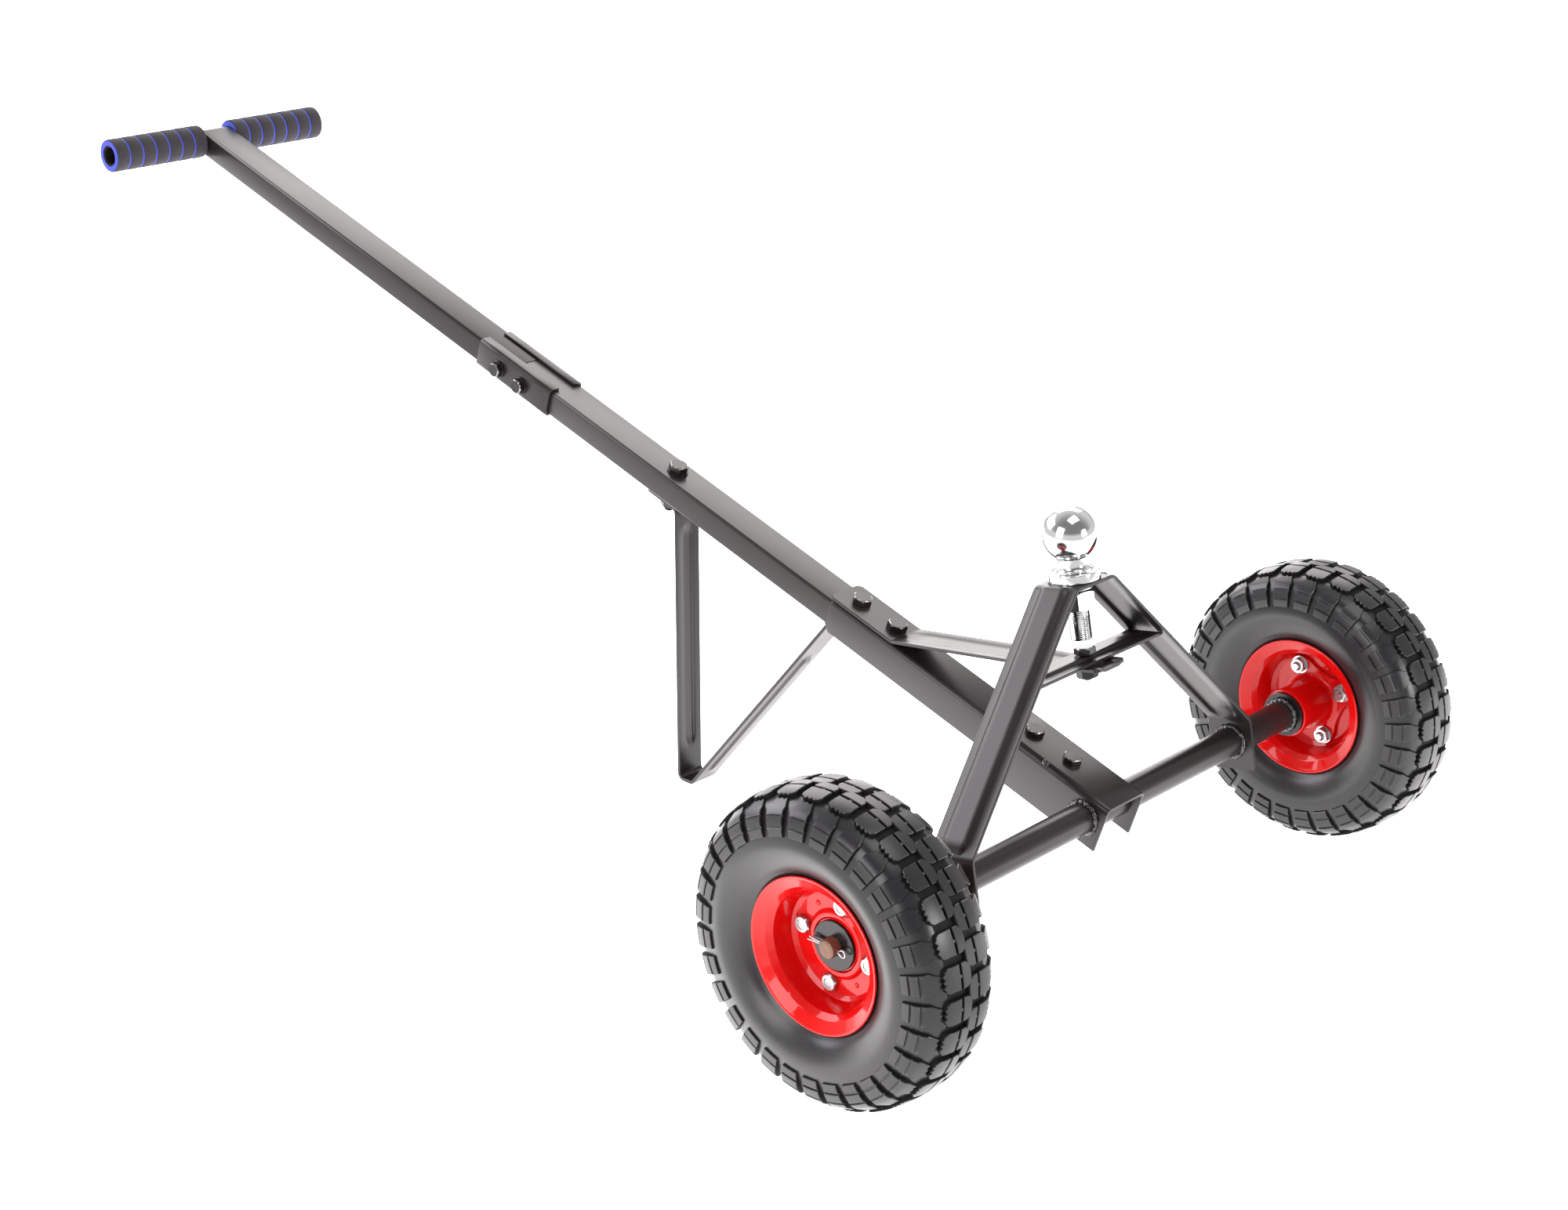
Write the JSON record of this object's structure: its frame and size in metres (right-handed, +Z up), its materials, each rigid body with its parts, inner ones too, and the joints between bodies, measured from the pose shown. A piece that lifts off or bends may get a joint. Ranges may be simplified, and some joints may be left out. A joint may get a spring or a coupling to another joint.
{
  "type": "hand trailer dolly",
  "caption": "Two-wheeled hand dolly with a hitch ball on an A-frame, a long tube handle with a foam T grip and a V-shaped prop stand.",
  "frame": {"origin": "on the floor, in the middle of the bounding box", "axes": "+X along the axle to the right wheel, +Y back towards the handle grips, +Z up"},
  "size_m": [0.744, 1.3744, 0.5453],
  "materials": {
    "frame_paint": "satin charcoal powder coat",
    "black_steel": "black oxide, semi-gloss",
    "zinc": "bright zinc plate",
    "chrome": "polished chrome",
    "red_paint": "glossy red enamel",
    "tyre": "matt black rubber",
    "foam": "matt closed-cell foam with thin blue grooves",
    "bearing_steel": "ground steel",
    "bare_steel": "turned steel, slightly browned"
  },
  "bodies": {
    "frame": {"axle_tube": "frame_paint", "lower_handle_tube": "frame_paint", "upper_handle_tube": "frame_paint", "lower_channel": "frame_paint", "front_bracket": "frame_paint", "splice_sleeve": "frame_paint", "brace_bar": "frame_paint", "stand": "frame_paint", "strap_bolt_rear": "black_steel", "strap_nut_rear": "black_steel", "strap_bolt_front": "black_steel", "strap_nut_front": "black_steel", "bracket_bolt_rear": "black_steel", "bracket_nut_rear": "black_steel", "bracket_bolt_front": "black_steel", "bracket_nut_front": "black_steel", "stand_bolt": "black_steel", "stand_nut": "black_steel", "splice_bolt_upper": "black_steel", "splice_nut_upper": "black_steel", "splice_bolt_lower": "black_steel", "splice_nut_lower": "black_steel", "t_bar": "frame_paint", "left_grip": "foam", "right_grip": "foam", "a_frame": "frame_paint", "crossbar": "frame_paint", "cross_bolt": "black_steel", "cross_nut": "black_steel", "hitch_ball": "chrome", "ball_lock_washer": "zinc", "ball_nut": "chrome", "left_axle_stub": "bare_steel", "left_outer_washer": "black_steel", "left_inner_washer": "black_steel", "left_split_pin": "zinc", "right_axle_stub": "bare_steel", "right_outer_washer": "black_steel", "right_inner_washer": "black_steel", "right_split_pin": "zinc"},
    "left_wheel": {"left_tyre": "tyre", "left_outer_rim": "red_paint", "left_inner_rim": "red_paint", "left_hub": "red_paint", "left_outer_bearing": "bearing_steel", "left_inner_bearing": "bearing_steel", "left_wheel_bolt_1": "zinc", "left_wheel_bolt_2": "zinc", "left_wheel_bolt_3": "zinc", "left_wheel_bolt_4": "zinc"},
    "right_wheel": {"right_tyre": "tyre", "right_outer_rim": "red_paint", "right_inner_rim": "red_paint", "right_hub": "red_paint", "right_outer_bearing": "bearing_steel", "right_inner_bearing": "bearing_steel", "right_wheel_bolt_1": "zinc", "right_wheel_bolt_2": "zinc", "right_wheel_bolt_3": "zinc", "right_wheel_bolt_4": "zinc"}
  },
  "joints": [
    {"name": "left_wheel_spin", "type": "hinge", "parent": "frame", "child": "left_wheel", "pos_m": [-0.3295, -0.55724, 0.13], "axis": [1, 0, 0], "continuous": true},
    {"name": "right_wheel_spin", "type": "hinge", "parent": "frame", "child": "right_wheel", "pos_m": [0.3295, -0.55724, 0.13], "axis": [1, 0, 0], "continuous": true}
  ]
}
